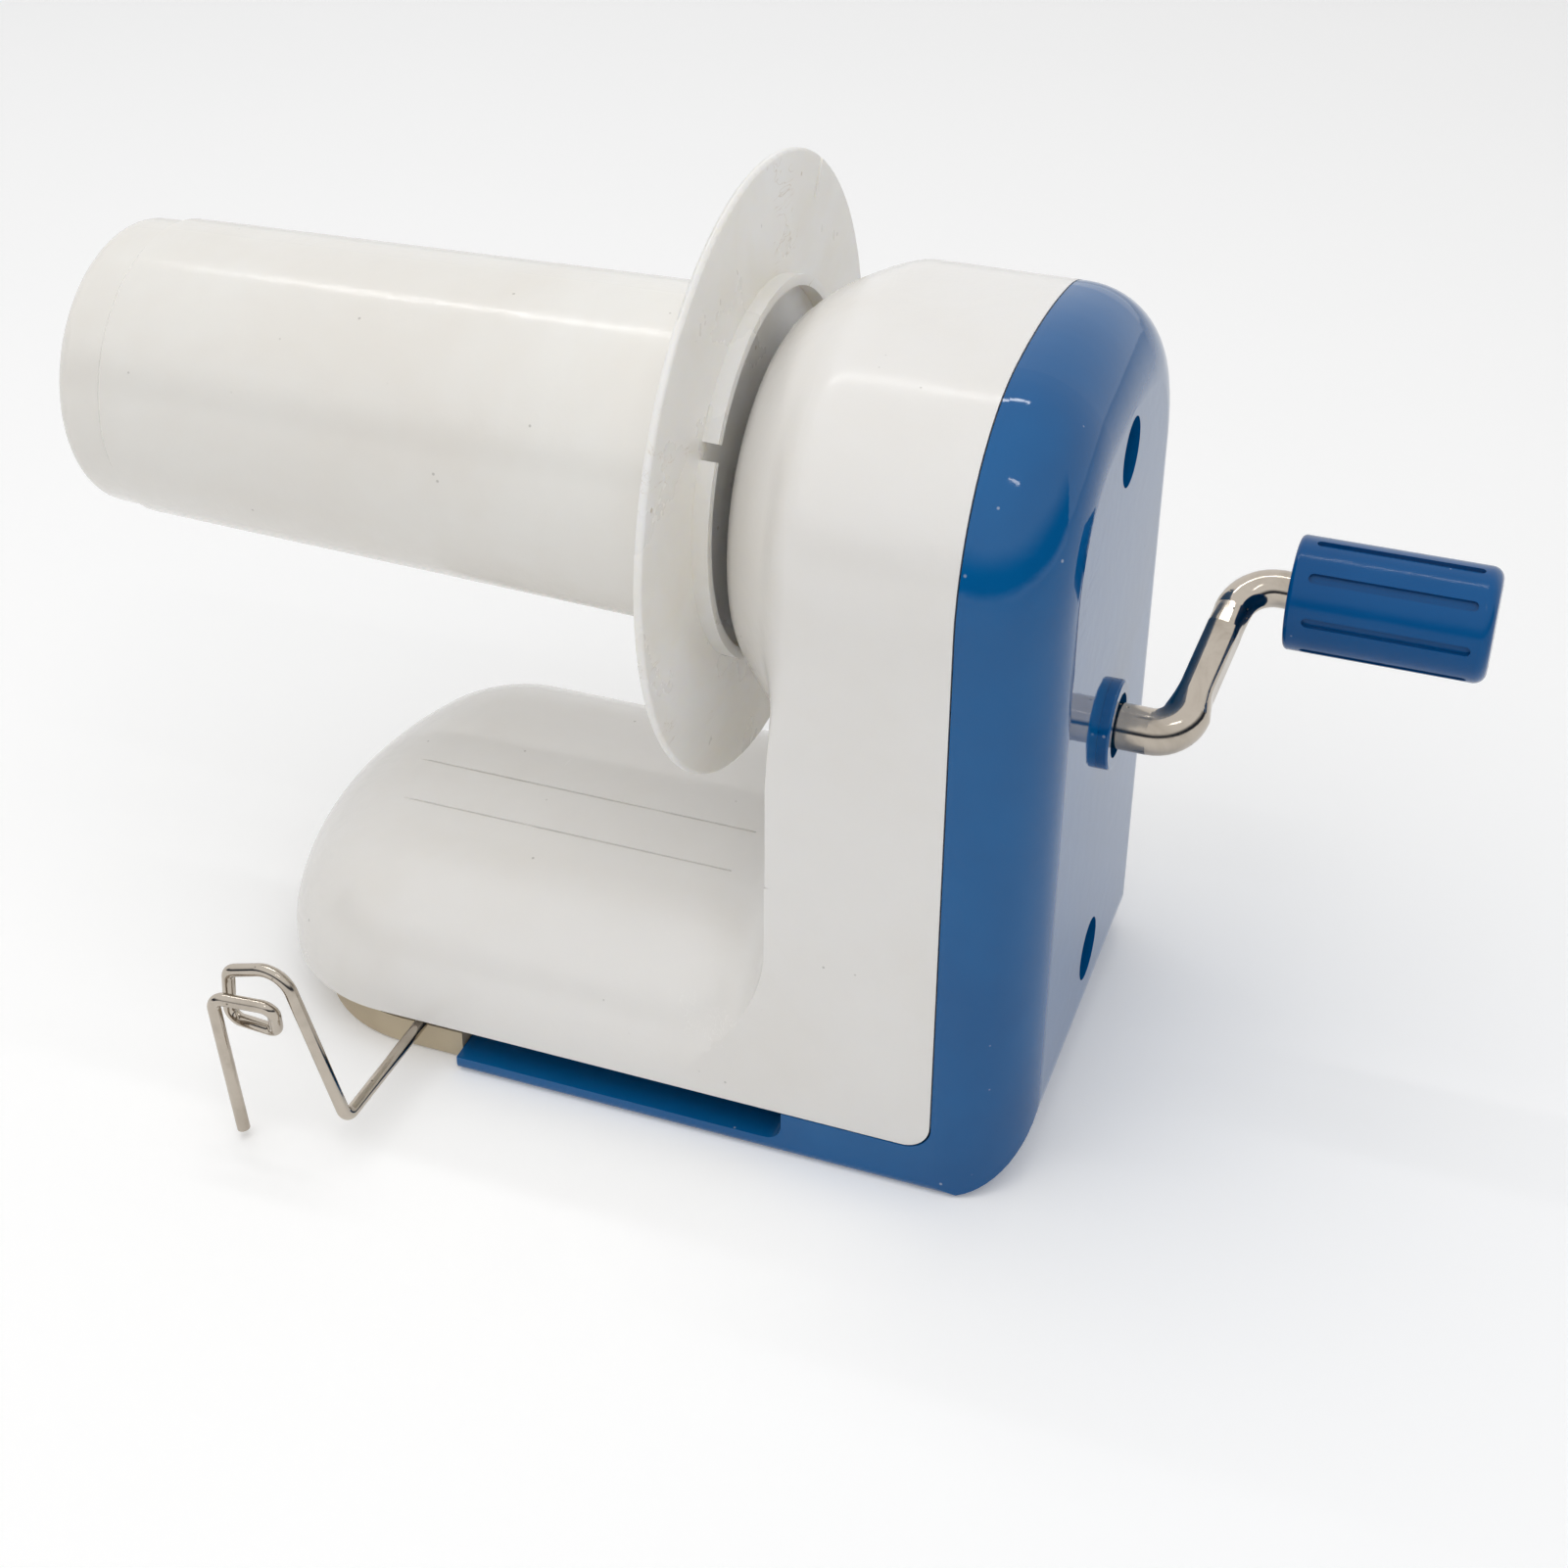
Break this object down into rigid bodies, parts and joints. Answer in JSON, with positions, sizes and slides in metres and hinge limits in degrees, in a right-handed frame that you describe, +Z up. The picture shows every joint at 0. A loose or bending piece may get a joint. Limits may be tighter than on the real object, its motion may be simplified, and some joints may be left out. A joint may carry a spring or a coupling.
{
  "type": "yarn winder",
  "caption": "Hand-cranked yarn winder: arched gear housing on a rounded base, flanged winding cone, offset crank with a fluted grip and a swinging wire yarn guide.",
  "frame": {"origin": "on the flat underside, at the seam between the front housing and the back cover, in the middle of the body's width", "axes": "+X from the cone to the crank along the spindle, +Y across the body to the side away from the yarn guide, +Z up from the underside"},
  "size_m": [0.2716, 0.1429, 0.1818],
  "materials": {
    "white_plastic": "glossy, slightly warm white moulding",
    "cone_plastic": "glossy white moulding",
    "milky_plastic": "milky, slightly translucent moulding with flow marks",
    "cream_plastic": "satin cream moulding",
    "blue_plastic": "glossy mid blue moulding",
    "gear_plastic": "natural low-friction moulding",
    "plated_steel": "bright nickel plate",
    "bright_steel": "zinc plate"
  },
  "bodies": {
    "housing": {"front_housing": "white_plastic", "back_cover": "blue_plastic", "cover_screws": "bright_steel", "nose_insert": "cream_plastic", "insert_screws": "bright_steel", "guide_bush": "gear_plastic", "spindle_front_bush": "gear_plastic", "spindle_rear_bush": "gear_plastic", "crank_front_bush": "gear_plastic", "crank_collar": "blue_plastic"},
    "spool": {"spindle": "bright_steel", "spindle_washer": "bright_steel", "spindle_clip": "bright_steel", "pinion": "gear_plastic", "pinion_pin": "bright_steel", "flange_disc": "milky_plastic", "yarn_cone": "cone_plastic", "hub_pin": "bright_steel", "hub_washer": "bright_steel", "hub_screw": "bright_steel"},
    "crank": {"crank_rod": "plated_steel", "drive_gear": "gear_plastic", "gear_pin": "bright_steel", "crank_clips": "bright_steel", "grip_nut": "bright_steel"},
    "grip": {"grip": "blue_plastic", "grip_cap": "blue_plastic"},
    "guide": {"guide_wire": "plated_steel", "guide_nut": "bright_steel"}
  },
  "joints": [
    {"name": "crank_turn", "type": "hinge", "parent": "housing", "child": "crank", "pos_m": [0, 0, 0.0805], "axis": [1, 0, 0], "continuous": true},
    {"name": "cone_spin", "type": "hinge", "parent": "housing", "child": "spool", "pos_m": [0, 0, 0.1225], "axis": [1, 0, 0], "continuous": true},
    {"name": "grip_spin", "type": "hinge", "parent": "crank", "child": "grip", "pos_m": [0.063, 0.032, 0.0975], "axis": [1, 0, 0], "continuous": true},
    {"name": "guide_swing", "type": "hinge", "parent": "housing", "child": "guide", "pos_m": [-0.1074, 0, 0], "axis": [0, 0, 1], "range_deg": [-172, 0]}
  ],
  "couplings": [
    {"joint": "cone_spin", "follows": "crank_turn", "ratio": -3.2}
  ]
}
